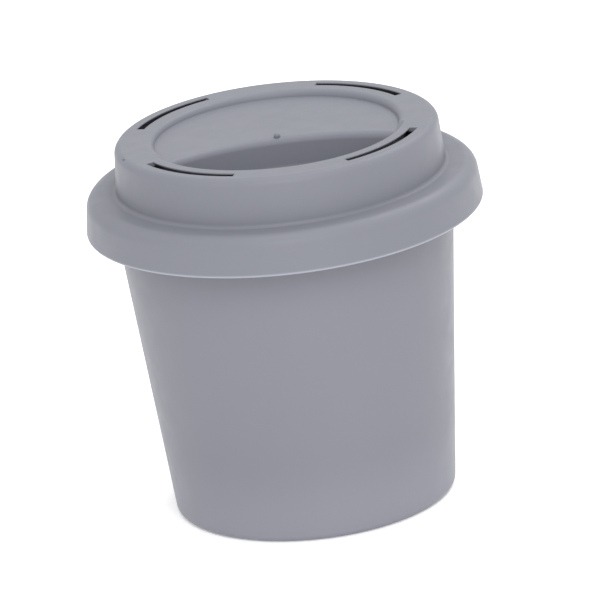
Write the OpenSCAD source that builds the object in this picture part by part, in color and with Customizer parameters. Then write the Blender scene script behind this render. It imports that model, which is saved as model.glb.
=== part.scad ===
// Paw washer cup: a tapered cup with a domed snap lid. Inside it a lift-out cage holds
// eight silicone bristle strips, and a slit silicone guard under a clamp ring keeps the water in.
// Frame: origin at the centre of the base, +Z up, the lid's finger pocket towards -Y.

/* [Overall] */
// Height from the table to the lid's top
total_h = 113; // [112:0.5:115]
// Radius that the tapered wall has at table level, before its bottom edge is rounded
base_r = 41.2; // [40.6:0.1:41.4]
// Outward lean of the cup's wall, in degrees
wall_lean = 5.3; // [5.1:0.1:5.4]

/* [Cup] */
// Thickness of the cup's wall
cup_wall = 2; // [1.8:0.1:2.2]
// Height of the hollow under the base
foot_h = 1.2; // [0.8:0.1:1.6]
// Height of the cup's inside floor
floor_z = 3.2; // [2.8:0.1:3.6]
// Rounding of the bottom outer edge
foot_edge = 2.3; // [1.5:0.1:2.6]
// Height of the rib tops that the cage's flange rests on
seat_z = 84; // [83.5:0.5:84]
// Number of support ribs inside the cup
rib_count = 8; // [4:1:12]

/* [Lid] */
// Thickness of the lid
lid_wall = 1.2; // [1.1:0.1:1.5]
// Radius of the raised platform at the lid's top
platform_r = 47.2; // [47.0:0.1:47.4]
// Inward lean of the platform's wall, in degrees
platform_lean = 4.1; // [3.9:0.1:4.3]
// Radius where the flange's flat top starts to round over
crest_r = 53.1; // [53:0.1:53.4]
// Height of the flange's flat top
crest_z = 98.9; // [98.7:0.1:99.2]
// Height of the skirt's lower edge
skirt_z = 87.2; // [87:0.1:87.6]
// Radius of the shallow recess's floor in the platform
recess_r = 35.6; // [35.4:0.1:35.8]
// Depth of the recess
recess_d = 2; // [1.8:0.1:2.1]

/* [Lid slots and finger pocket] */
// Radius of a vent slot's middle line
slot_r = 41.85; // [41.6:0.05:42]
// Width of a vent slot
slot_w = 2.3; // [2:0.1:2.6]
// Sweep of a vent slot, in degrees
slot_sweep = 43.5; // [38:0.5:48]
// Angle between a slot's middle and the lid's front-to-back line
slot_spread = 44.4; // [43:0.2:46]
// Radius of the pocket's front wall
pocket_r = 37.5; // [37.3:0.1:37.7]
// Radius of the pocket's rear wall
pocket_rear_r = 62.8; // [62.4:0.1:63]
// Distance from the lid's centre to the axis of the pocket's rear wall
pocket_rear_y = 66.7; // [66.4:0.1:67]
// Depth of the pocket below the lid's top
pocket_d = 12; // [11:0.5:12.5]

/* [Brush insert] */
// Outer radius of the cage's posts and hoops
cage_r = 38.5; // [38.4:0.1:38.8]
// Distance from the axis to a strip's outer face
strip_face = 34.6; // [34.4:0.1:34.7]
// Width of a bristle strip
strip_w = 24; // [23.4:0.2:24.2]
// Thickness of a strip's back plate
strip_t = 1.8; // [1.6:0.1:1.9]
// Radius of the free space between the bristle tips
tip_r = 22; // [20:0.5:24]
// Rows of bristles on a strip
row_count = 11; // [8:1:11]
// Radius of the hole in the splash guard
guard_hole_r = 17; // [16:0.5:18]

/* [Hidden] */
$fn = 96;

plastic = [0.60, 0.605, 0.64];
frame_plastic = [0.80, 0.81, 0.83];
silicone = [0.42, 0.55, 0.62];

// Gap between stacked pieces that rest on each other
rest_gap = 0.1;
// Radial gap of the ring's locating pegs in the cage's flange
peg_fit = 0.05;

// Levels of the stack, from the rib tops up
flange_t = 1.8;
flange_z = seat_z + rest_gap;
bead_t = 1.5;
guard_z = flange_z + flange_t + rest_gap;
ring_t = 2;
ring_z = guard_z + bead_t + 0.05;
flange_r = 46.3;
flange_bore = cage_r - 1.3;
bead_r = 44.8;
ring_bore = 38.5;
ring_r = 46.5;
peg_r = 1.4;
peg_ring_r = 40.2;

// Cup rim: a flared wall that ends in a round bead with a lip turned down outside it
flare = 35.8;
bead = [crest_r + 0.6, crest_z - 3.2];
rim_bead = 1.5;
lip_z = bead[1] - 3.5;
inner_edge = 4;

// Lid flange: a flat top from the foot of the platform's wall, rolled over into the skirt
crest_round = 4.2;
crest = [crest_r, crest_z - crest_round];
skirt_lean = 5.4;
valley_round = 1.2;
valley_z = crest_z + valley_round;
top_round = 2.4;
skirt_edge = 0.8;
plug_z = 91.8;
plug_r = 46.9;
plug_wall = 1.6;
recess_z = total_h - recess_d;
pocket_z = total_h - pocket_d;
pocket_round = 2.5;
nub_y = -1.9;

// Cage and strips
cage_z = 6;
hoop_h = 3;
post_half = 6.5;
post_bore = 32.2;
groove_gap = 0.3;
strip_z = cage_z + hoop_h + 0.3;
strip_top = seat_z - 0.6;
bristle_pitch = 5;
bristle_root = 1.3;
bristle_tip = 0.7;

// Points of an arc, from angle a0 to a1
function arc(c, r, a0, a1, steps = 6) =
    [for (i = [0:steps]) let (a = a0 + (a1 - a0) * i / steps) c + r * [cos(a), sin(a)]];
// Outer radius of the cup's wall at a height
function cup_r(z) = base_r + tan(wall_lean) * z;
// Radius of the platform's wall at a height
function platform_wall(z) = platform_r + tan(platform_lean) * (total_h - z);
// Point at a distance along a direction
function polar(c, r, a) = c + r * [cos(a), sin(a)];

// ---------- cup ----------

function cup_profile() =
    let (
        foot = [cup_r(foot_edge) - foot_edge / cos(wall_lean), foot_edge],
        inner = [cup_r(floor_z + inner_edge) - cup_wall - inner_edge / cos(wall_lean),
                 floor_z + inner_edge],
        inside = polar(bead, rim_bead, 90 + flare),
        outside = inside + cup_wall * [sin(flare), -cos(flare)],
        lip_r = bead[0],
        corner_in = meet_wall(inside, cup_wall),
        corner_out = meet_wall(outside, 0)
    )
    concat(
        [[0, foot_h], [foot[0] - 5.8, foot_h], [foot[0] - 4.8, 0]],
        arc(foot, foot_edge, -90, -wall_lean),
        [corner_out],
        [[lip_r, outside[1] - tan(flare) * (outside[0] - lip_r)]],
        [[lip_r, lip_z + 0.2], [lip_r + 0.2, lip_z]],
        [[lip_r + rim_bead - 0.2, lip_z], [lip_r + rim_bead, lip_z + 0.2]],
        arc(bead, rim_bead, 0, 90 + flare, 10),
        [corner_in],
        arc(inner, inner_edge, -wall_lean, -90),
        [[0, floor_z]]
    );

// Where a flare line through p meets the tapered wall, the wall being moved inwards by t
function meet_wall(p, t) =
    let (z = (base_r - t - p[0] + p[1] / tan(flare)) / (1 / tan(flare) - tan(wall_lean)))
    [cup_r(z) - t, z];

module support_rib() {
    reach = 44.4;
    bury = 1;
    low = (reach - base_r + cup_wall) / tan(wall_lean);
    rotate([90, 0, 0])
        linear_extrude(2, center = true)
            polygon([[reach, seat_z], [cup_r(seat_z) - cup_wall + bury, seat_z],
                     [reach + bury, low], [reach, low + 1]]);
}

module cup_body() {
    color(plastic) {
        rotate_extrude() polygon(cup_profile());
        for (k = [0:rib_count - 1]) rotate(k * 360 / rib_count) support_rib();
    }
}

// ---------- cage ----------

// Plan of one strip's back plate, grown by a gap
module plate_plan(gap) {
    translate([strip_face - strip_t - gap, -strip_w / 2 - gap])
        square([strip_t + 2 * gap, strip_w + 2 * gap]);
}

module hoop(z, r_in, r_out, h) {
    translate([0, 0, z]) difference() {
        cylinder(h = h, r = r_out);
        translate([0, 0, -1]) cylinder(h = h + 2, r = r_in);
    }
}

module post() {
    reach = 2 * cage_r;
    inset = 0.4;
    linear_extrude(flange_z + 0.5 - cage_z) difference() {
        intersection() {
            circle(cage_r - inset);
            polygon([[0, 0], polar([0, 0], reach, -post_half), polar([0, 0], reach, post_half)]);
        }
        circle(post_bore + inset);
        for (side = [-22.5, 22.5]) rotate(side) plate_plan(groove_gap);
    }
}

module brush_cage() {
    collar_h = 6;
    color(frame_plastic) difference() {
        union() {
            hoop(flange_z, flange_bore, flange_r, flange_t);
            hoop(flange_z - collar_h, flange_bore + 0.2, cage_r, collar_h + 1.2);
            hoop(cage_z + 36, flange_bore, cage_r, hoop_h);
            hoop(cage_z, post_bore, cage_r, hoop_h);
            for (k = [0:7]) rotate(22.5 + k * 45) translate([0, 0, cage_z + 0.5]) post();
        }
        for (k = [0:3]) rotate(22.5 + k * 90) translate([peg_ring_r, 0, flange_z - 1])
            cylinder(h = flange_t + 2, r = peg_r + peg_fit);
    }
}

// ---------- bristle strips ----------

module bristle() {
    reach = strip_face - strip_t - tip_r;
    rotate([0, -90, 0]) rotate_extrude($fn = 24)
        polygon([[0, -0.9], [bristle_root, -0.9], [bristle_root, 0], [bristle_tip, reach - 0.4],
                 [bristle_tip - 0.35, reach], [0, reach]]);
}

module bristle_strip(k) {
    margin = 5;
    row_pitch = (strip_top - strip_z - 2 * margin) / (row_count - 1);
    color(silicone) rotate((k - 1) * 45) {
        translate([strip_face - strip_t, -strip_w / 2, strip_z])
            cube([strip_t, strip_w, strip_top - strip_z]);
        for (row = [0:row_count - 1], i = [0:3 - row % 2])
            translate([strip_face - strip_t, (i - (3 - row % 2) / 2) * bristle_pitch,
                       strip_z + margin + row * row_pitch])
                bristle();
    }
}

// ---------- splash guard and its ring ----------

module splash_guard() {
    sheet = 1;
    dip = 0.14;
    bend_r = 37;
    slit_w = 0.8;
    slit_end = 33;
    low = guard_z - dip * (bend_r - guard_hole_r);
    color(silicone) difference() {
        rotate_extrude()
            polygon([[guard_hole_r, low], [bend_r, guard_z], [bead_r, guard_z],
                     [bead_r, guard_z + bead_t], [peg_ring_r + 2.4, guard_z + bead_t],
                     [peg_ring_r + 2, guard_z + sheet], [bend_r, guard_z + sheet],
                     [guard_hole_r, low + sheet]]);
        for (k = [0:7]) rotate(k * 45) {
            translate([guard_hole_r - 1, -slit_w / 2, low - 1])
                cube([slit_end - guard_hole_r + 1, slit_w, 8]);
            translate([slit_end, 0, low - 1]) cylinder(h = 8, r = 1.5, $fn = 32);
        }
        for (k = [0:3]) rotate(22.5 + k * 90) translate([peg_ring_r, 0, low - 1])
            cylinder(h = 8, r = peg_r + 0.25);
    }
}

module guard_ring() {
    edge = 0.6;
    tab_h = 3.6;
    color(frame_plastic) {
        rotate_extrude() polygon(concat(
            [[bead_r + 0.2, guard_z], [ring_r, guard_z]],
            arc([ring_r - edge, ring_z + ring_t - edge], edge, 0, 90, 4),
            arc([ring_bore + edge, ring_z + ring_t - edge], edge, 90, 180, 4),
            [[ring_bore, ring_z], [bead_r + 0.2, ring_z]]));
        for (k = [0:3]) rotate(22.5 + k * 90) translate([peg_ring_r, 0, flange_z + 0.3])
            cylinder(h = ring_z + 1 - flange_z - 0.3, r = peg_r);
        for (side = [0, 180]) rotate(side - 12) rotate_extrude(angle = 24)
            translate([ring_bore + 1, ring_z + 1]) square([1.8, ring_t - 1 + tab_h]);
    }
}

// ---------- lid ----------

function lid_profile() =
    let (
        top_z = total_h - top_round,
        top = [platform_wall(top_z) - top_round / cos(platform_lean), top_z],
        valley = [platform_wall(valley_z) + valley_round / cos(platform_lean), valley_z],
        skirt_out = polar(crest, crest_round, skirt_lean),
        skirt_in = polar(crest, crest_round - lid_wall, skirt_lean),
        skirt_r = skirt_out[0] + tan(skirt_lean) * (skirt_out[1] - skirt_z)
    )
    concat(
        [[0, total_h]],
        arc(top, top_round, 90, platform_lean, 8),
        arc(valley, valley_round, 180 + platform_lean, 270, 6),
        arc(crest, crest_round, 90, skirt_lean, 12),
        arc([skirt_r - skirt_edge, skirt_z + skirt_edge], skirt_edge, 0, -90, 5),
        [[skirt_in[0] + tan(skirt_lean) * (skirt_in[1] - skirt_z), skirt_z]],
        arc(crest, crest_round - lid_wall, skirt_lean, 90, 8),
        arc(valley, valley_round + lid_wall, 270, 236, 4),
        [[plug_r, plug_z + 0.4], [plug_r - 0.4, plug_z], [plug_r - plug_wall + 0.4, plug_z],
         [plug_r - plug_wall, plug_z + 0.4], [plug_r - plug_wall, plug_z + 2]],
        [[platform_wall(crest_z - 0.4) - lid_wall, crest_z - 0.4]],
        arc(top, top_round - lid_wall, platform_lean, 90, 3),
        [[recess_r + lid_wall + 0.6, total_h - lid_wall], [recess_r + lid_wall, recess_z - lid_wall],
         [0, recess_z - lid_wall]]
    );

// The recess's edge is a quarter round that ends square on its floor
module recess_cut() {
    rotate_extrude() polygon(concat(
        [[0, recess_z]],
        arc([recess_r + recess_d, recess_z], recess_d, 180, 90),
        [[recess_r + recess_d, total_h + 1], [0, total_h + 1]]));
}

// Disc with a rounded lower edge
module round_disc(r, z0, z1, edge) {
    rotate_extrude() polygon(concat(
        [[0, z0]], arc([r - edge, z0 + edge], edge, -90, 0, 5), [[r, z1], [0, z1]]));
}

// Disc whose wall opens out in a round shoulder at the level of the recess's floor
module shouldered_disc(r, z0, z1, edge) {
    draft = 0.6;
    shoulder = 2.2;
    fade = 4;
    rotate_extrude($fn = 144) polygon(concat(
        [[0, z0]], arc([r - draft - edge, z0 + edge], edge, -90, 0, 5),
        arc([r + shoulder, z1 - shoulder], shoulder, 180, 90, 5),
        [[r + shoulder + fade, total_h + 0.4], [r + shoulder + fade, total_h + 1],
         [0, total_h + 1]]));
}

module pocket_cut() {
    intersection() {
        round_disc(pocket_r, pocket_z, total_h + 1, pocket_round);
        translate([0, -pocket_rear_y, 0])
            shouldered_disc(pocket_rear_r, pocket_z, recess_z, pocket_round);
    }
}

module pocket_shell() {
    shell_z = pocket_z - lid_wall;
    shell_edge = pocket_round + lid_wall;
    intersection() {
        round_disc(pocket_r + lid_wall, shell_z, total_h - 0.9, shell_edge);
        translate([0, -pocket_rear_y, 0])
            round_disc(pocket_rear_r + lid_wall, shell_z, total_h - 0.9, shell_edge);
    }
}

// Webs under the two ends of the pocket's shoulder, so that they don't break through the rim
module pocket_web() {
    web_depth = 4.3;
    web_h = web_depth + recess_d - 0.8;
    intersection() {
        translate([0, 0, recess_z - web_depth - 1]) difference() {
            cylinder(h = web_h + 2, r = pocket_r + lid_wall - 0.1);
            translate([0, 0, -1]) cylinder(h = web_h + 4, r = recess_r - 1.1);
        }
        translate([0, -pocket_rear_y, recess_z - web_depth])
            cylinder(h = web_h, r1 = pocket_rear_r, r2 = pocket_rear_r + 7.4);
    }
}

module snap_bead() {
    grip_r = bead[0] + rim_bead + 0.3;
    grip_z = lip_z - 1.2;
    rotate_extrude(angle = 16)
        polygon([[grip_r + 1.5, grip_z - 1.2], [grip_r, grip_z - 0.2],
                 [grip_r, grip_z + 0.2], [grip_r + 1.5, grip_z + 1.2]]);
}

module lid() {
    color(plastic) {
        difference() {
            union() {
                rotate_extrude() polygon(lid_profile());
                pocket_shell();
                pocket_web();
            }
            recess_cut();
            pocket_cut();
            for (end = [90, 270], side = [-1, 1])
                rotate(end + side * slot_spread - slot_sweep / 2)
                rotate_extrude(angle = slot_sweep)
                    translate([slot_r - slot_w / 2, total_h - 5]) square([slot_w, 6]);
        }
        translate([0, nub_y, recess_z - 0.8]) cylinder(h = 1.8, r1 = 1.3, r2 = 0.9, $fn = 32);
        for (k = [0:5]) rotate(k * 60 + 22) snap_bead();
    }
}

cup_body();
brush_cage();
for (k = [1:8]) bristle_strip(k);
splash_guard();
guard_ring();
lid();
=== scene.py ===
"""The looks of the paw washer cup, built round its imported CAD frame.

Sizes in this file are in millimetres and degrees, as on a drawing, and become metres where a mesh,
a light or the camera is made. The frame has its origin at the centre of the base, +Z up, and the
lid's finger pocket towards -Y.
"""
import math
import random

import bmesh
import bpy
from mathutils import Matrix, Vector


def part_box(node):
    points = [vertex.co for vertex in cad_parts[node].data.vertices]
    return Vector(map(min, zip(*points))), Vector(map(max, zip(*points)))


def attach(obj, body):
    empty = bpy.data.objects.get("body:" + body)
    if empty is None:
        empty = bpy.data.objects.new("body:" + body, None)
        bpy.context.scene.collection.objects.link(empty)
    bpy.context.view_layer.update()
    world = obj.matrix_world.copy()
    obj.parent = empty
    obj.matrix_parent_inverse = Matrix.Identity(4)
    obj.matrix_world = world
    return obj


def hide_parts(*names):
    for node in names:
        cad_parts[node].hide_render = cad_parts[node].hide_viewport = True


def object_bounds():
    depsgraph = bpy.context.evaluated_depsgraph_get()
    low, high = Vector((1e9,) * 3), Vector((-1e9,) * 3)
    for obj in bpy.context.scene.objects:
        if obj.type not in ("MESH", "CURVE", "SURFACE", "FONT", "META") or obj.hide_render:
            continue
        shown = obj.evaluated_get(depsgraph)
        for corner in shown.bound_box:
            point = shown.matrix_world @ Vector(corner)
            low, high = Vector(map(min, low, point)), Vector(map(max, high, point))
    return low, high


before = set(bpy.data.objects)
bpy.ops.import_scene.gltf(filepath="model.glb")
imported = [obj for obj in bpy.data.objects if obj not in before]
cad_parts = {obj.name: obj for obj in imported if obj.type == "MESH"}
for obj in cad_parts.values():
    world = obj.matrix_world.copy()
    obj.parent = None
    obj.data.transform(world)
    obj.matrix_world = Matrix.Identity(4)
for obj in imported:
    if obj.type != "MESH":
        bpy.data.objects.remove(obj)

CAD_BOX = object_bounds()
MM = 0.001

# ---------------------------------------------------------------- driving sizes, in millimetres

TOTAL_H = CAD_BOX[1].z / MM
CUP_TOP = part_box("cup_body")[1].z / MM
SKIRT_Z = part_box("lid")[0].z / MM

# Cup: outer radius at the base, lean of the wall, foot, inner floor and the ribs' seat
BASE_R = 41.2
WALL_LEAN = 5.3
CUP_WALL = 2.0
FOOT_H = 1.2
FOOT_EDGE = 2.3
FLOOR_Z = 3.2
FLOOR_EDGE = 4.0
SEAT_Z = 84.0
RIB_REACH = 44.4
RIB_HALF = 1.0

# Lid: platform, flange crest, valley between them, skirt and the plug inside the cup's mouth
LID_WALL = 1.2
PLATFORM_R = 47.2
PLATFORM_LEAN = 4.1
TOP_ROUND = 2.4
CREST_R = 53.1
CREST_Z = 98.9
CREST_ROUND = 4.2
VALLEY_ROUND = 1.2
SKIRT_LEAN = 5.4
SKIRT_EDGE = 0.8
PLUG_Z = 91.8
PLUG_R = 46.9
PLUG_WALL = 1.6
SNAPS = 6
SNAP_SWEEP = 16
SNAP_FIRST = 22

# Lid's top: recess, vent slots, finger pocket, gate stub and nick
RECESS_R = 35.6
RECESS_D = 2.0
SLOT_R = 41.85
SLOT_W = 2.3
SLOT_SWEEP = 43.5
SLOT_SPREAD = 44.4
POCKET_R = 37.5
POCKET_REAR_R = 62.8
POCKET_REAR_Y = 66.7
POCKET_D = 12.0
POCKET_ROUND = 2.5
POCKET_SHOULDER = 2.2
POCKET_FADE = 4.0
NUB_Y = -1.9
NUB_R = 0.95
NICK_ANGLE = -168.5

# Cage's flange, splash guard and clamp ring, stacked on the ribs
FLANGE_Z = SEAT_Z + 0.1
FLANGE_T = 1.8
FLANGE_R = 46.3
GUARD_Z = FLANGE_Z + FLANGE_T + 0.1
GUARD_SHEET = 1.0
GUARD_DIP = 0.14
GUARD_BEAD_T = 1.5
GUARD_BEAD_R = 44.8
GUARD_HOLE_R = 17.0
GUARD_BEND_R = 37.0
SLIT_END = 33.0
SLIT_W = 0.8
SLIT_HOLE_R = 1.5
RING_Z = GUARD_Z + GUARD_BEAD_T + 0.05
RING_T = 2.0
RING_R = 46.5
RING_BORE = 38.5
TAB_H = 3.6
PEG_R = 1.4
PEG_RING_R = 40.2
PEG_ANGLES = [22.5 + 90 * k for k in range(4)]
PETAL_ANGLES = [45 * k for k in range(8)]

# Brush cage and its eight bristle strips
STRIPS = 8
STRIP_TURN = 360 / STRIPS
STRIP_ANGLES = [STRIP_TURN * k for k in range(STRIPS)]
CAGE_R = 38.5
CAGE_Z = 6.0
HOOP_H = 3.0
MIDDLE_HOOP_Z = CAGE_Z + 36
COLLAR_H = 6.0
POST_HALF = 6.5
POST_BORE = 32.2
POST_INSET = 0.4
GROOVE_GAP = 0.3
STRIP_FACE = 34.6
STRIP_W = 24.0
STRIP_T = 1.8
STRIP_Z = CAGE_Z + HOOP_H + 0.3
STRIP_TOP = SEAT_Z - 0.6
STRIP_MARGIN = 5.0
BRISTLE_ROWS = 11
BRISTLE_PITCH = 5.0
BRISTLE_ROOT = 1.3
BRISTLE_TIP = 0.7
TIP_R = 22.0

# Cup's rolled rim, hidden under the lid's skirt
RIM_BEAD_R = 1.5
RIM_FLARE = 35.8
RIM_BEAD = (CREST_R + 0.6, CREST_Z - 3.2)
LIP_Z = RIM_BEAD[1] - 3.5

LATHE_STEPS = 288
REAR_WALL_STEPS = 720

# ---------------------------------------------------------------- drawing outlines


def sin(angle):
    return math.sin(math.radians(angle))


def cos(angle):
    return math.cos(math.radians(angle))


def tan(angle):
    return math.tan(math.radians(angle))


def polar(centre, radius, angle):
    return (centre[0] + radius * cos(angle), centre[1] + radius * sin(angle))


def arc(centre, radius, start, end, step=7.5):
    """Points of an arc from angle start to angle end."""
    count = max(2, math.ceil(abs(end - start) / step))
    return [polar(centre, radius, start + (end - start) * i / count) for i in range(count + 1)]


def cup_wall_r(z):
    return BASE_R + tan(WALL_LEAN) * z


def platform_wall_r(z):
    return PLATFORM_R + tan(PLATFORM_LEAN) * (TOTAL_H - z)


# ---------------------------------------------------------------- making meshes


def mesh_object(name, points, faces):
    """A new object from points in millimetres."""
    mesh = bpy.data.meshes.new(name)
    mesh.from_pydata([[c * MM for c in p] for p in points], [], faces)
    mesh.validate()
    shape = bpy.data.objects.new(name, mesh)
    bpy.context.scene.collection.objects.link(shape)
    return shape


def lathe(name, outline, steps=LATHE_STEPS, centre=(0, 0), start=0.0, sweep=360.0):
    """Turns a closed outline of (radius, height) points, drawn anticlockwise, about a vertical axis."""
    whole = sweep >= 360
    turns = steps if whole else steps + 1
    points, rings = [], []
    for radius, height in outline:
        on_axis = radius < 1e-6
        ring = []
        for i in range(1 if on_axis else turns):
            angle = start + sweep * i / steps
            ring.append(len(points))
            points.append((centre[0] + radius * cos(angle), centre[1] + radius * sin(angle), height))
        rings.append(ring * turns if on_axis else ring)
    faces = []
    for k, ring in enumerate(rings):
        following = rings[(k + 1) % len(rings)]
        for i in range(steps):
            j = (i + 1) % turns
            corners = [ring[i], ring[j], following[j], following[i]]
            distinct = [c for n, c in enumerate(corners) if c != corners[n - 1]]
            if len(distinct) > 2:
                faces.append(distinct)
    if not whole:
        faces.append([ring[0] for ring in rings][::-1])
        faces.append([ring[-1] for ring in rings])
    return recalculated(mesh_object(name, points, faces))


def slab(name, near, far):
    """The solid between two matching loops of points."""
    count = len(near)
    faces = [list(range(count))[::-1], list(range(count, 2 * count))]
    faces += [[i, (i + 1) % count, count + (i + 1) % count, count + i] for i in range(count)]
    return recalculated(mesh_object(name, near + far, faces))


def prism(name, outline, low, high):
    """A closed outline in plan, raised from height low to height high."""
    return slab(name, [(x, y, low) for x, y in outline], [(x, y, high) for x, y in outline])


def pin(name, radius, low, high, centre):
    """A plain upright cylinder."""
    return lathe(name, [(0, low), (radius, low), (radius, high), (0, high)], 32, centre)


def recalculated(shape):
    """The same object with every face looking outwards."""
    work = bmesh.new()
    work.from_mesh(shape.data)
    bmesh.ops.remove_doubles(work, verts=work.verts, dist=1e-7)
    bmesh.ops.recalc_face_normals(work, faces=work.faces)
    work.to_mesh(shape.data)
    work.free()
    return shape


def baked(shape):
    """Turns an object's modifiers into its mesh."""
    graph = bpy.context.evaluated_depsgraph_get()
    mesh = bpy.data.meshes.new_from_object(shape.evaluated_get(graph))
    old = shape.data
    shape.modifiers.clear()
    shape.data = mesh
    bpy.data.meshes.remove(old)
    mesh.name = shape.name
    return shape


def combine(shape, others, operation):
    """Adds the other solids to shape, or cuts them out of it, or keeps what they share."""
    for other in others:
        step = shape.modifiers.new("combine", "BOOLEAN")
        step.operation = operation
        step.solver = "EXACT"
        step.object = other
        baked(shape)
        bpy.data.objects.remove(other)
    return shape


def softened(shape, width, segments):
    """The same object with its sharp edges rounded."""
    bevel = shape.modifiers.new("soften", "BEVEL")
    bevel.width = width * MM
    bevel.segments = segments
    bevel.limit_method = "ANGLE"
    bevel.angle_limit = math.radians(50)
    return baked(shape)


def turned(shape, angle):
    """The same object turned about the cup's axis."""
    shape.data.transform(Matrix.Rotation(math.radians(angle), 4, "Z"))
    return shape


def joined(name, shapes):
    """One object that holds several separate solids."""
    work = bmesh.new()
    for shape in shapes:
        work.from_mesh(shape.data)
        bpy.data.objects.remove(shape)
    mesh = bpy.data.meshes.new(name)
    work.to_mesh(mesh)
    work.free()
    whole = bpy.data.objects.new(name, mesh)
    bpy.context.scene.collection.objects.link(whole)
    return whole


def smoothed(shape, sharp=32.0):
    """Smooth shading that stays crisp at edges sharper than an angle and flat on flat faces."""
    shape.data.polygons.foreach_set("use_smooth", [True] * len(shape.data.polygons))
    shape.data.set_sharp_from_angle(angle=math.radians(sharp))
    normals = shape.modifiers.new("normals", "WEIGHTED_NORMAL")
    normals.keep_sharp = True
    normals.weight = 100
    return shape


def as_piece(shape, body, slot_name, material, *nodes):
    """Rides on a body, takes its material, and stands for its CAD nodes."""
    shape.data.materials.clear()
    shape.data.materials.append(material)
    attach(shape, body)
    if nodes:
        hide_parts(*nodes)
    return shape


# ---------------------------------------------------------------- materials


def node_of(tree, kind, **values):
    """A new shader node with its inputs and properties set by name."""
    node = tree.nodes.new(kind)
    for name, value in values.items():
        if name in node.inputs:
            node.inputs[name].default_value = value
        else:
            setattr(node, name.lower(), value)
    return node


def moulded(name, colour, rough, mottle, grain, grain_depth, flow_depth, sheen=0.0, subsurface=0.0,
            painted_light=None):
    """Moulded plastic or silicone: faint mottling, a fine tool texture and slow flow unevenness.

    grain is the size of the tool texture and both depths are in millimetres. The last argument paints light
    into the colour as a paler height band: it gives the height up to which the colour is palest, the height
    where that ends, and how many times paler it is.
    """
    material = bpy.data.materials.new(name)
    material.use_nodes = True
    tree = material.node_tree
    shader = tree.nodes["Principled BSDF"]
    place = tree.nodes.new("ShaderNodeTexCoord")

    def field(scale, detail, stretch=(1, 1, 1)):
        mapping = node_of(tree, "ShaderNodeMapping", Scale=stretch)
        wave = node_of(tree, "ShaderNodeTexNoise", Scale=scale, Detail=detail, Roughness=0.55)
        tree.links.new(place.outputs["Object"], mapping.inputs["Vector"])
        tree.links.new(mapping.outputs["Vector"], wave.inputs["Vector"])
        return wave.outputs["Fac"]

    cloud = field(38.0, 3.0, (1, 1, 0.45))
    speck = field(900.0, 2.0)
    both = node_of(tree, "ShaderNodeMath", operation="MULTIPLY_ADD")
    tree.links.new(speck, both.inputs[0])
    both.inputs[1].default_value = 0.35
    tree.links.new(cloud, both.inputs[2])
    tint = tree.nodes.new("ShaderNodeValToRGB")
    tint.color_ramp.elements[0].position = 0.45
    tint.color_ramp.elements[1].position = 0.90
    tint.color_ramp.elements[0].color = [c * (1 - mottle) for c in colour] + [1]
    tint.color_ramp.elements[1].color = [c * (1 + mottle) for c in colour] + [1]
    tree.links.new(both.outputs[0], tint.inputs["Fac"])
    tree.links.new(tint.outputs["Color"], shader.inputs["Base Color"])
    # Painted light: the base colour made paler in a band of height, standing in for light that the bright
    # floor throws back onto the surface.
    if painted_light:
        palest_z, end_z, factor = painted_light
        height = tree.nodes.new("ShaderNodeSeparateXYZ")
        tree.links.new(place.outputs["Object"], height.inputs["Vector"])
        band = node_of(tree, "ShaderNodeMapRange")
        band.interpolation_type = "SMOOTHSTEP"
        band.inputs["From Min"].default_value = palest_z * MM
        band.inputs["From Max"].default_value = end_z * MM
        band.inputs["To Min"].default_value = factor
        band.inputs["To Max"].default_value = 1.0
        tree.links.new(height.outputs["Z"], band.inputs["Value"])
        painted_light_colour = node_of(tree, "ShaderNodeVectorMath", operation="SCALE")
        tree.links.new(tint.outputs["Color"], painted_light_colour.inputs[0])
        tree.links.new(band.outputs["Result"], painted_light_colour.inputs["Scale"])
        tree.links.new(painted_light_colour.outputs["Vector"], shader.inputs["Base Color"])

    gloss = node_of(tree, "ShaderNodeMapRange")
    gloss.inputs["From Min"].default_value = 0.3
    gloss.inputs["From Max"].default_value = 0.7
    gloss.inputs["To Min"].default_value = rough - 0.05
    gloss.inputs["To Max"].default_value = rough + 0.05
    tree.links.new(field(140.0, 4.0), gloss.inputs["Value"])
    tree.links.new(gloss.outputs["Result"], shader.inputs["Roughness"])

    flow = node_of(tree, "ShaderNodeBump", Strength=1.0, Distance=flow_depth * MM)
    tree.links.new(field(160.0, 2.0, (1, 1, 0.3)), flow.inputs["Height"])
    texture = node_of(tree, "ShaderNodeBump", Strength=1.0, Distance=grain_depth * MM)
    tree.links.new(field(1000.0 / grain, 3.0), texture.inputs["Height"])
    tree.links.new(flow.outputs["Normal"], texture.inputs["Normal"])
    tree.links.new(texture.outputs["Normal"], shader.inputs["Normal"])

    shader.inputs["IOR"].default_value = 1.46
    shader.inputs["Specular IOR Level"].default_value = 0.2
    if sheen:
        shader.inputs["Sheen Weight"].default_value = sheen
    if subsurface:
        shader.inputs["Subsurface Weight"].default_value = subsurface
        shader.inputs["Subsurface Radius"].default_value = (1.0, 0.9, 0.8)
        shader.inputs["Subsurface Scale"].default_value = 0.0015
    return material


CUP_GREY = (0.191, 0.194, 0.223)
LID_GREY = (0.186, 0.191, 0.220)
FRAME_GREY = (0.115, 0.119, 0.135)
SILICONE_GREY = (0.13, 0.14, 0.17)

# The cup's painted light: its wall is painted up to 1.2 times paler towards the foot, standing in for light
# bounced up from the floor.
CUP_PLASTIC = moulded(
    "cup_plastic", CUP_GREY, rough=0.42, mottle=0.012, grain=0.45, grain_depth=0.004,
    flow_depth=0.012, painted_light=(0.0, 27.0, 1.20))
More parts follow.
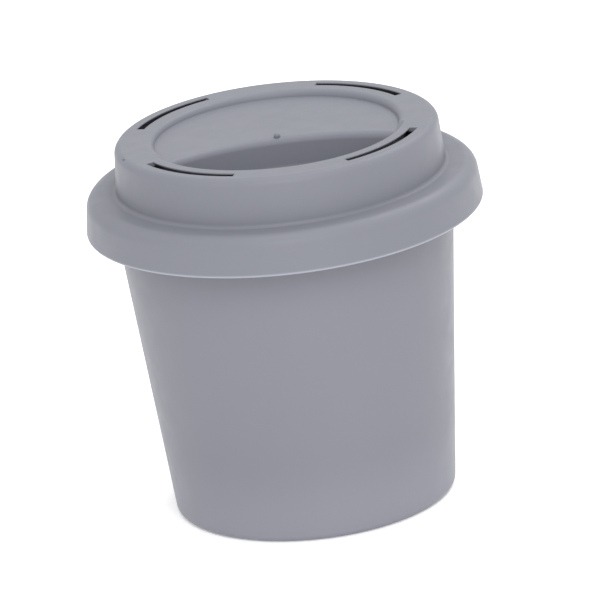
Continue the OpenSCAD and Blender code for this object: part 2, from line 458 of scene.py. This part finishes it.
# The lid's painted highlight: a thin band at the skirt's lower edge is painted 1.7 times paler, standing in
# for the bright floor reflected in its rounded edge.
LID_PLASTIC = moulded(
    "lid_plastic", LID_GREY, rough=0.42, mottle=0.012, grain=0.45, grain_depth=0.004,
    flow_depth=0.012, painted_light=(SKIRT_Z + 0.35, SKIRT_Z + 1.1, 1.7))
FRAME_PLASTIC = moulded(
    "insert_plastic", FRAME_GREY, rough=0.38, mottle=0.015, grain=0.40, grain_depth=0.003,
    flow_depth=0.010)
SILICONE = moulded(
    "silicone", SILICONE_GREY, rough=0.58, mottle=0.05, grain=0.30, grain_depth=0.006,
    flow_depth=0.020, sheen=0.15, subsurface=0.12)

# ---------------------------------------------------------------- lid


def lid_outline():
    """Half section of the lid, from the axis out over the top and back along the underside."""
    recess_z = TOTAL_H - RECESS_D
    top_z = TOTAL_H - TOP_ROUND
    top = (platform_wall_r(top_z) - TOP_ROUND / cos(PLATFORM_LEAN), top_z)
    valley_z = CREST_Z + VALLEY_ROUND
    valley = (platform_wall_r(valley_z) + VALLEY_ROUND / cos(PLATFORM_LEAN), valley_z)
    crest = (CREST_R, CREST_Z - CREST_ROUND)
    skirt_top = polar(crest, CREST_ROUND, SKIRT_LEAN)
    skirt_r = skirt_top[0] + tan(SKIRT_LEAN) * (skirt_top[1] - SKIRT_Z)
    skirt_in = polar(crest, CREST_ROUND - LID_WALL, SKIRT_LEAN)
    skirt_in_r = skirt_in[0] + tan(SKIRT_LEAN) * (skirt_in[1] - SKIRT_Z)
    foot = PLUG_Z + 0.4
    return (
        [(0, recess_z), (RECESS_R - 0.15, recess_z)]
        + arc((RECESS_R + RECESS_D, recess_z), RECESS_D, 175, 90, 5)
        + arc(top, TOP_ROUND, 90, PLATFORM_LEAN, 5)
        + arc(valley, VALLEY_ROUND, 180 + PLATFORM_LEAN, 270)
        + arc(crest, CREST_ROUND, 90, SKIRT_LEAN, 3)
        + arc((skirt_r - SKIRT_EDGE, SKIRT_Z + SKIRT_EDGE), SKIRT_EDGE, 0, -90, 15)
        + arc((skirt_in_r + 0.3, SKIRT_Z + 0.3), 0.3, -90, -180, 30)
        + arc(crest, CREST_ROUND - LID_WALL, SKIRT_LEAN, 90, 10)
        + arc(valley, VALLEY_ROUND + LID_WALL, 270, 236)
        + arc((PLUG_R - 0.4, foot), 0.4, 0, -90, 30)
        + arc((PLUG_R - PLUG_WALL + 0.4, foot), 0.4, -90, -180, 30)
        + [(PLUG_R - PLUG_WALL, PLUG_Z + 2)]
        + [(platform_wall_r(CREST_Z - 0.4) - LID_WALL, CREST_Z - 0.4)]
        + arc(top, TOP_ROUND - LID_WALL, PLATFORM_LEAN, 90, 30)
        + [(RECESS_R + LID_WALL + 0.6, TOTAL_H - LID_WALL)]
        + [(RECESS_R + LID_WALL, recess_z - LID_WALL), (0, recess_z - LID_WALL)]
    )


def pocket_cutter():
    """The finger pocket: a front disc and a rear disc whose shoulder rolls into the recess's floor."""
    floor = TOTAL_H - POCKET_D
    above = TOTAL_H + 1
    edge = 0.45
    draft = 0.6
    recess_z = TOTAL_H - RECESS_D
    front = (
        [(0, floor)]
        + arc((POCKET_R - POCKET_ROUND, floor + POCKET_ROUND), POCKET_ROUND, -90, 0)
        + arc((POCKET_R + edge, TOTAL_H - edge), edge, 180, 90, 15)
        + [(POCKET_R + edge, above), (0, above)]
    )
    rear_r = POCKET_REAR_R
    shoulder = POCKET_SHOULDER
    outer = rear_r + shoulder + POCKET_FADE
    rear = (
        [(0, floor - 1)]
        + [(rear_r - draft - POCKET_ROUND, floor - 1)]
        + arc((rear_r - draft - POCKET_ROUND, floor + POCKET_ROUND), POCKET_ROUND, -90, 0)
        + arc((rear_r + shoulder, recess_z - shoulder), shoulder, 180, 90, 5)
        + [(outer, TOTAL_H + 0.4), (outer, above), (0, above)]
    )
    cutter = lathe("pocket", front)
    rear_disc = lathe("pocket_rear", rear, REAR_WALL_STEPS, (0, -POCKET_REAR_Y))
    return combine(cutter, [rear_disc], "INTERSECT")


def pocket_basin():
    """The wall under the finger pocket, which spreads under the rear wall's round shoulder."""
    floor = TOTAL_H - POCKET_D - LID_WALL
    edge = POCKET_ROUND + LID_WALL
    top = TOTAL_H - 0.9
    flare_z = TOTAL_H - RECESS_D - POCKET_SHOULDER - 1.0

    def disc(name, radius, steps, centre, spread=0.0):
        outline = [(0, floor)] + arc((radius - edge, floor + edge), edge, -90, 0)
        outline += [(radius, flare_z), (radius + spread, flare_z + POCKET_SHOULDER)]
        return lathe(name, outline + [(radius + spread, top), (0, top)], steps, centre)

    basin = disc("basin", POCKET_R + LID_WALL, LATHE_STEPS, (0, 0))
    rear = disc("basin_rear", POCKET_REAR_R + LID_WALL, REAR_WALL_STEPS, (0, -POCKET_REAR_Y),
                POCKET_SHOULDER + POCKET_FADE)
    basin = combine(basin, [rear], "INTERSECT")
    low, reach = TOTAL_H - RECESS_D - 0.6, RECESS_R + 0.4
    hollow = lathe("hollow", [(0, low), (reach, low), (reach, TOTAL_H), (0, TOTAL_H)])
    return combine(basin, [hollow], "DIFFERENCE")


def slot_cutter(angle):
    """One curved vent slot, with softened upper edges and the wall thinned behind its lips."""
    inner, outer, edge = SLOT_R - SLOT_W / 2, SLOT_R + SLOT_W / 2, 0.22
    low, high = TOTAL_H - 5, TOTAL_H + 1
    lip_z, thin_z, relief = TOTAL_H - 0.38, TOTAL_H - 0.50, 1.4
    outline = (
        [(inner - relief, low), (outer + relief, low), (outer + relief, thin_z), (outer, lip_z)]
        + arc((outer + edge, TOTAL_H - edge), edge, 180, 90, 30)
        + [(outer + edge, high), (inner - edge, high)]
        + arc((inner - edge, TOTAL_H - edge), edge, 90, 0, 30)
        + [(inner, lip_z), (inner - relief, thin_z)]
    )
    return lathe("slot", outline, 48, (0, 0), angle - SLOT_SWEEP / 2, SLOT_SWEEP)


def snap_bead(angle):
    """One of the short beads inside the skirt that snap under the cup's rim lip."""
    grip_r = RIM_BEAD[0] + RIM_BEAD_R + 0.3
    grip_z = LIP_Z - 1.2
    outline = [(grip_r + 1.5, grip_z - 1.2), (grip_r + 1.5, grip_z + 1.2),
               (grip_r, grip_z + 0.2), (grip_r, grip_z - 0.2)]
    return lathe("snap", outline, 20, (0, 0), angle, SNAP_SWEEP)


def gate_nub():
    """The stub that the injection gate leaves in the middle of the recess."""
    low = TOTAL_H - RECESS_D
    outline = [(0, low - 0.6), (0.8, low - 0.6)] + arc((0, low + 0.25), NUB_R, -15, 90)
    return lathe("nub", outline, 36, (0, NUB_Y))


def mould_nick():
    """A small nick in the rim's outer round, on the left."""
    nick = lathe("nick", arc((0, 0), 1.0, -90, 90, 15), 24)
    nick.data.transform(Matrix.Diagonal((0.35, 0.95, 0.35, 1)))
    nick.data.transform(Matrix.Translation(Vector((46.3, 0, TOTAL_H - 0.45)) * MM))
    return turned(nick, NICK_ANGLE)


def make_lid():
    """The lid: a turned shell, the pocket, four slots, the snap beads, the stub and the nick."""
    lid = lathe("lid_shell", lid_outline())
    combine(lid, [pocket_basin()], "UNION")
    combine(lid, [pocket_cutter()], "DIFFERENCE")
    slots = [slot_cutter(end + side * SLOT_SPREAD) for end in (90, 270) for side in (-1, 1)]
    combine(lid, [joined("slots", slots)], "DIFFERENCE")
    snaps = [snap_bead(SNAP_FIRST + 360 / SNAPS * k) for k in range(SNAPS)]
    combine(lid, [joined("snaps", snaps), gate_nub()], "UNION")
    combine(lid, [mould_nick()], "DIFFERENCE")
    return as_piece(smoothed(lid), "lid", "lid_plastic", LID_PLASTIC, "lid")


# ---------------------------------------------------------------- cup


def cup_outline():
    """Half section of the cup, from the axis out under the base, up outside and down inside."""
    foot = (cup_wall_r(FOOT_EDGE) - FOOT_EDGE / cos(WALL_LEAN), FOOT_EDGE)
    inner_z = FLOOR_Z + FLOOR_EDGE
    inner = (cup_wall_r(inner_z) - CUP_WALL - FLOOR_EDGE / cos(WALL_LEAN), inner_z)
    inside = polar(RIM_BEAD, RIM_BEAD_R, 90 + RIM_FLARE)
    outside = (inside[0] + CUP_WALL * sin(RIM_FLARE), inside[1] - CUP_WALL * cos(RIM_FLARE))
    lip_r = RIM_BEAD[0]

    def meet_wall(point, inwards):
        z = (BASE_R - inwards - point[0] + point[1] / tan(RIM_FLARE))
        z /= 1 / tan(RIM_FLARE) - tan(WALL_LEAN)
        return (cup_wall_r(z) - inwards, z)

    return (
        [(0, FOOT_H), (foot[0] - 5.8, FOOT_H), (foot[0] - 4.8, 0.1), (foot[0] - 4.6, 0)]
        + arc(foot, FOOT_EDGE, -90, -WALL_LEAN)
        + [(cup_wall_r(z), z) for z in (20, 40, 60, 80)]
        + [meet_wall(outside, 0)]
        + [(lip_r, outside[1] - tan(RIM_FLARE) * (outside[0] - lip_r))]
        + arc((lip_r + 0.3, LIP_Z + 0.3), 0.3, 180, 270, 30)
        + arc((lip_r + RIM_BEAD_R - 0.3, LIP_Z + 0.3), 0.3, -90, 0, 30)
        + arc(RIM_BEAD, RIM_BEAD_R, 0, 90 + RIM_FLARE)
        + [meet_wall(inside, CUP_WALL)]
        + [(cup_wall_r(z) - CUP_WALL, z) for z in (80, 60, 40, 20)]
        + arc(inner, FLOOR_EDGE, -WALL_LEAN, -90)
        + [(0, FLOOR_Z)]
    )


def support_rib(angle):
    """One of the small gussets inside the cup on which the cage's flange rests."""
    low = (RIB_REACH - BASE_R + CUP_WALL) / tan(WALL_LEAN)
    bury = 1.0
    side = [(RIB_REACH, SEAT_Z), (cup_wall_r(SEAT_Z) - CUP_WALL + bury, SEAT_Z),
            (RIB_REACH + bury, low), (RIB_REACH, low + 1)]
    rib = slab("rib", [(x, -RIB_HALF, z) for x, z in side], [(x, RIB_HALF, z) for x, z in side])
    return turned(rib, angle)


def make_cup():
    """The cup: a turned shell and the ribs inside it."""
    cup = lathe("cup_shell", cup_outline())
    combine(cup, [joined("ribs", [support_rib(angle) for angle in STRIP_ANGLES])], "UNION")
    return as_piece(smoothed(cup), "cup", "cup_plastic", CUP_PLASTIC, "cup_body")


# ---------------------------------------------------------------- brush cage


def hoop(name, low, high, inner, outer, edge=0.35):
    """A flat hoop with softened edges."""
    outline = (
        arc((outer - edge, low + edge), edge, -90, 0, 30)
        + arc((outer - edge, high - edge), edge, 0, 90, 30)
        + arc((inner + edge, high - edge), edge, 90, 180, 30)
        + arc((inner + edge, low + edge), edge, 180, 270, 30)
    )
    return lathe(name, outline, 192)


def cage_post(angle):
    """An upright of the cage with a groove down each side for the edge of a strip."""
    inner, outer = POST_BORE + POST_INSET, CAGE_R - POST_INSET
    low, high = CAGE_Z + 0.5, FLANGE_Z + 0.5
    outline = [(inner, low), (outer, low), (outer, high), (inner, high)]
    post = lathe("post", outline, 8, (0, 0), angle - POST_HALF, 2 * POST_HALF)
    return softened(post, 0.3, 2)


def groove_cutter(angle):
    """The space that one strip's back plate takes, grown by the groove's gap."""
    near, far = STRIP_FACE - STRIP_T - GROOVE_GAP, STRIP_FACE + GROOVE_GAP
    half = STRIP_W / 2 + GROOVE_GAP
    low, high = CAGE_Z + HOOP_H, FLANGE_Z + FLANGE_T + 1
    corners = [(near, -half), (far, -half), (far, half), (near, half)]
    return turned(prism("groove", corners, low, high), angle)


def make_cage():
    """The cage: a hoop at the bottom, the middle and the top, grooved posts and the seating flange."""
    cage = hoop("cage_shell", CAGE_Z, CAGE_Z + HOOP_H, POST_BORE, CAGE_R)
    posts = joined("posts", [cage_post(angle + STRIP_TURN / 2) for angle in STRIP_ANGLES])
    posts = combine(posts, [groove_cutter(angle) for angle in STRIP_ANGLES], "DIFFERENCE")
    bore = CAGE_R - 1.3
    middle = hoop("middle", MIDDLE_HOOP_Z, MIDDLE_HOOP_Z + HOOP_H, bore, CAGE_R)
    collar = hoop("collar", FLANGE_Z - COLLAR_H, FLANGE_Z + 1.2, bore + 0.2, CAGE_R)
    flange = hoop("flange", FLANGE_Z, FLANGE_Z + FLANGE_T, bore, FLANGE_R)
    combine(cage, [posts, middle, collar, flange], "UNION")
    holes = [pin("peg_hole", PEG_R + 0.05, FLANGE_Z - 1, FLANGE_Z + 3, polar((0, 0), PEG_RING_R, angle))
             for angle in PEG_ANGLES]
    combine(cage, [joined("peg_holes", holes)], "DIFFERENCE")
    return as_piece(smoothed(cage), "insert", "insert_plastic", FRAME_PLASTIC, "brush_cage")


# ---------------------------------------------------------------- bristle strips


def bristle(centre, bend, points, faces):
    """One tapered bristle with a round tip, pointing to -X, that bends a little sideways."""
    sides = 14
    reach = STRIP_FACE - STRIP_T - TIP_R
    tip = BRISTLE_TIP
    levels = [(-0.5, BRISTLE_ROOT + 0.35), (0.02, BRISTLE_ROOT + 0.35), (0.18, BRISTLE_ROOT + 0.12),
              (0.45, BRISTLE_ROOT)]
    levels += [(reach * t, BRISTLE_ROOT + (tip - BRISTLE_ROOT) * t) for t in (0.25, 0.5, 0.75)]
    levels += [(reach - tip + tip * sin(a), tip * cos(a)) for a in (0, 25, 50, 72)]
    start = len(points)
    for along, radius in levels:
        lean = (max(along, 0) / reach) ** 2
        for i in range(sides):
            around = 360 * i / sides
            points.append((centre[0] - along, centre[1] + radius * cos(around) + bend[0] * lean,
                           centre[2] + radius * sin(around) + bend[1] * lean))
    for k in range(len(levels) - 1):
        for i in range(sides):
            j = (i + 1) % sides
            a, b = start + k * sides, start + (k + 1) * sides
            faces.append([a + i, a + j, b + j, b + i])
    faces.append([start + i for i in range(sides)][::-1])
    last = start + (len(levels) - 1) * sides
    points.append((centre[0] - reach, centre[1] + bend[0], centre[2] + bend[1]))
    faces += [[last + i, last + (i + 1) % sides, len(points) - 1] for i in range(sides)]


def make_strip(number):
    """A silicone back plate with round corners and staggered rows of bent bristles."""
    chance = random.Random(40 + number)
    near, far, half = STRIP_FACE - STRIP_T, STRIP_FACE, STRIP_W / 2
    corner = 1.6
    side, low, high = half - corner, STRIP_Z + corner, STRIP_TOP - corner
    outline = []
    for y, z, start in ((side, low, -90), (side, high, 0), (-side, high, 90), (-side, low, 180)):
        outline += arc((y, z), corner, start, start + 90, 15)
    plate = slab("plate", [(near, y, z) for y, z in outline], [(far, y, z) for y, z in outline])
    softened(plate, 0.4, 3)

    points, faces = [], []
    pitch = (STRIP_TOP - STRIP_Z - 2 * STRIP_MARGIN) / (BRISTLE_ROWS - 1)
    for row in range(BRISTLE_ROWS):
        last = 3 - row % 2
        for i in range(last + 1):
            centre = (near, (i - last / 2) * BRISTLE_PITCH, STRIP_Z + STRIP_MARGIN + row * pitch)
            bend = (chance.uniform(-0.45, 0.45), chance.uniform(-0.55, 0.25))
            bristle(centre, bend, points, faces)
    bristles = mesh_object("bristles", points, faces)
    name = "bristle_strip_shell_%d" % number
    strip = turned(joined(name, [plate, bristles]), STRIP_ANGLES[number - 1])
    node = "bristle_strip_%d" % number
    return as_piece(smoothed(strip, 50), "brushes", "bristle_silicone", SILICONE, node)


# ---------------------------------------------------------------- splash guard


def flutter(guard):
    """Lifts or drops each petal a little towards its tip, as soft petals never lie level."""
    chance = random.Random(17)
    lifts = [chance.uniform(-0.35, 0.45) for angle in PETAL_ANGLES]
    for vertex in guard.data.vertices:
        radius = math.hypot(vertex.co.x, vertex.co.y) / MM
        if radius < SLIT_END:
            petal = math.degrees(math.atan2(vertex.co.y, vertex.co.x)) % 360 / PETAL_ANGLES[1]
            hang = ((SLIT_END - radius) / (SLIT_END - GUARD_HOLE_R)) ** 2
            curl = 1 - 0.5 * cos(360 * (petal % 1))
            vertex.co.z += lifts[int(petal) % len(lifts)] * hang * curl * MM


def make_guard():
    """The slit diaphragm: a dished sheet with eight petals, relief holes and a clamped bead."""
    def sheet_z(radius):
        return GUARD_Z - GUARD_DIP * (GUARD_BEND_R - radius)

    steps = [GUARD_HOLE_R + (GUARD_BEND_R - GUARD_HOLE_R) * i / 10 for i in range(11)]
    lip = 0.5
    low_side = [(r, sheet_z(r)) for r in steps[1:]]
    high_side = [(r, sheet_z(r) + GUARD_SHEET) for r in steps[:0:-1]]
    inner_z = sheet_z(GUARD_HOLE_R) + lip
    bead_top = GUARD_Z + GUARD_BEAD_T
    outline = (
        low_side
        + arc((GUARD_BEAD_R - 0.3, GUARD_Z + 0.3), 0.3, -90, 0, 30)
        + arc((GUARD_BEAD_R - 0.3, bead_top - 0.3), 0.3, 0, 90, 30)
        + [(PEG_RING_R + 2.5, bead_top), (PEG_RING_R + 2.1, GUARD_Z + GUARD_SHEET + 0.05)]
        + high_side
        + arc((GUARD_HOLE_R + lip, inner_z), lip, 90, 270, 30)
    )
    guard = lathe("guard_shell", outline, 240)
    low, high = GUARD_Z - 8, GUARD_Z + 6
    start, half = GUARD_HOLE_R - 2, SLIT_W / 2
    slit = [(start, -half), (SLIT_END, -half), (SLIT_END, half), (start, half)]
    slits = [turned(prism("slit", slit, low, high), angle) for angle in PETAL_ANGLES]
    combine(guard, [joined("slits", slits)], "DIFFERENCE")
    holes = [(SLIT_HOLE_R, SLIT_END, angle) for angle in PETAL_ANGLES]
    holes += [(PEG_R + 0.25, PEG_RING_R, angle) for angle in PEG_ANGLES]
    cutters = [pin("hole", radius, low, high, polar((0, 0), ring_r, angle))
               for radius, ring_r, angle in holes]
    combine(guard, [joined("holes", cutters)], "DIFFERENCE")
    flutter(guard)
    return as_piece(smoothed(guard, 45), "guard", "guard_silicone", SILICONE, "splash_guard")


def make_ring():
    """The clamp ring with its four locating pegs and two lift tabs."""
    edge = 0.6
    top = RING_Z + RING_T
    bead_r = GUARD_BEAD_R + 0.2
    outline = (
        [(bead_r, GUARD_Z + 0.2), (bead_r + 0.2, GUARD_Z), (RING_R - 0.2, GUARD_Z), (RING_R, GUARD_Z + 0.2)]
        + arc((RING_R - edge, top - edge), edge, 0, 90, 15)
        + arc((RING_BORE + edge, top - edge), edge, 90, 180, 15)
        + [(RING_BORE, RING_Z + 0.2), (RING_BORE + 0.2, RING_Z), (bead_r, RING_Z)]
    )
    ring = lathe("ring_shell", outline)
    low, high = FLANGE_Z + 0.3, RING_Z + 1
    peg = [(0, low), (PEG_R - 0.3, low), (PEG_R, low + 0.3), (PEG_R, high), (0, high)]
    pegs = [lathe("peg", peg, 32, polar((0, 0), PEG_RING_R, angle)) for angle in PEG_ANGLES]
    tabs, grips = [], []
    near, far = RING_BORE + 1, RING_BORE + 2.8
    tab = [(near, high), (far, high), (far, top + TAB_H), (near, top + TAB_H)]
    for side in (0, 180):
        tabs.append(softened(lathe("tab", tab, 24, (0, 0), side - 12, 24), 0.5, 3))
        for level in (0.8, 1.8, 2.8):
            rib = arc((near, top + level), 0.3, 90, 270, 30)
            grips.append(lathe("grip", rib + [(near + 0.3, top + level)], 20, (0, 0), side - 10, 20))
    combine(ring, [joined("pegs", pegs), joined("tabs", tabs)], "UNION")
    combine(ring, [joined("grips", grips)], "UNION")
    return as_piece(smoothed(ring), "guard", "insert_plastic", FRAME_PLASTIC, "guard_ring")


# ---------------------------------------------------------------- camera, light and floor

# The camera's direction from the cup, its turn about the line of sight and the point it aims at
VIEW_AZIMUTH = -4.23
VIEW_ELEVATION = 18.67
VIEW_ROLL = 6.43
VIEW_DISTANCE = 2042.8
VIEW_LENS = 419.05
AIM = Vector((0, 0, 60))
AIM_RIGHT = 1.47
AIM_UP = 0.13
# Strengths of the surround and the floor's own glow, and each softbox's place in metres and watts
SURROUND = 0.91
FLOOR_GLOW = 0.22
FLOOR_HALF = 9000
SOFTBOXES = (("front_high", (0, -1.5, 1.5), 14.9), ("top", (0, 0, 2.1), 8.5),
             ("back_right", (0.9, 1.0, 1.7), 13.2), ("front_low", (0.1, -2.0, 0.55), 3.6))


def make_camera():
    """A long lens a little above the cup, turned so that the cup leans to the left."""
    back = Vector((sin(VIEW_AZIMUTH) * cos(VIEW_ELEVATION),
                   -cos(VIEW_AZIMUTH) * cos(VIEW_ELEVATION), sin(VIEW_ELEVATION)))
    facing = (-back).to_track_quat("-Z", "Y").to_matrix()
    level = facing @ Matrix.Rotation(math.radians(-VIEW_ROLL), 3, "Z")
    data = bpy.data.cameras.new("camera")
    data.lens = VIEW_LENS
    data.sensor_width = 36
    data.clip_start, data.clip_end = 0.05, 50
    camera = bpy.data.objects.new("camera", data)
    aim = AIM + level @ Vector((AIM_RIGHT, AIM_UP, 0))
    place = level.to_4x4()
    place.translation = (aim + back * VIEW_DISTANCE) * MM
    camera.matrix_world = place
    bpy.context.scene.collection.objects.link(camera)
    bpy.context.scene.camera = camera


def area_light(name, place, power):
    """A square softbox, one metre across, aimed at the middle of the cup."""
    data = bpy.data.lights.new(name, "AREA")
    data.shape = "SQUARE"
    data.size = 1.0
    data.energy = power
    light = bpy.data.objects.new(name, data)
    light.location = place
    aim = Vector((0, 0, TOTAL_H / 2 * MM)) - Vector(place)
    light.rotation_euler = aim.to_track_quat("-Z", "Y").to_euler()
    bpy.context.scene.collection.objects.link(light)


def make_studio():
    """A white floor, a white surround and four large soft lights."""
    corners = [(-FLOOR_HALF, -FLOOR_HALF, 0), (FLOOR_HALF, -FLOOR_HALF, 0),
               (FLOOR_HALF, FLOOR_HALF, 0), (-FLOOR_HALF, FLOOR_HALF, 0)]
    floor = mesh_object("floor", corners, [[0, 1, 2, 3]])
    paper = bpy.data.materials.new("floor")
    paper.use_nodes = True
    shader = paper.node_tree.nodes["Principled BSDF"]
    shader.inputs["Base Color"].default_value = (0.93, 0.93, 0.93, 1)
    shader.inputs["Roughness"].default_value = 0.9
    shader.inputs["Specular IOR Level"].default_value = 0.1
    shader.inputs["Emission Color"].default_value = (1, 1, 1, 1)
    shader.inputs["Emission Strength"].default_value = FLOOR_GLOW
    floor.data.materials.append(paper)
    world = bpy.data.worlds.new("studio")
    bpy.context.scene.world = world
    world.use_nodes = True
    surround = world.node_tree.nodes["Background"]
    surround.inputs["Color"].default_value = (1, 1, 1, 1)
    surround.inputs["Strength"].default_value = SURROUND
    for name, place, power in SOFTBOXES:
        area_light(name, place, power)
    bpy.context.scene.view_settings.view_transform = "Standard"
    bpy.context.scene.view_settings.look = "None"


make_camera()
make_studio()
make_cup()
make_cage()
for strip_number in range(1, STRIPS + 1):
    make_strip(strip_number)
make_guard()
make_ring()
make_lid()
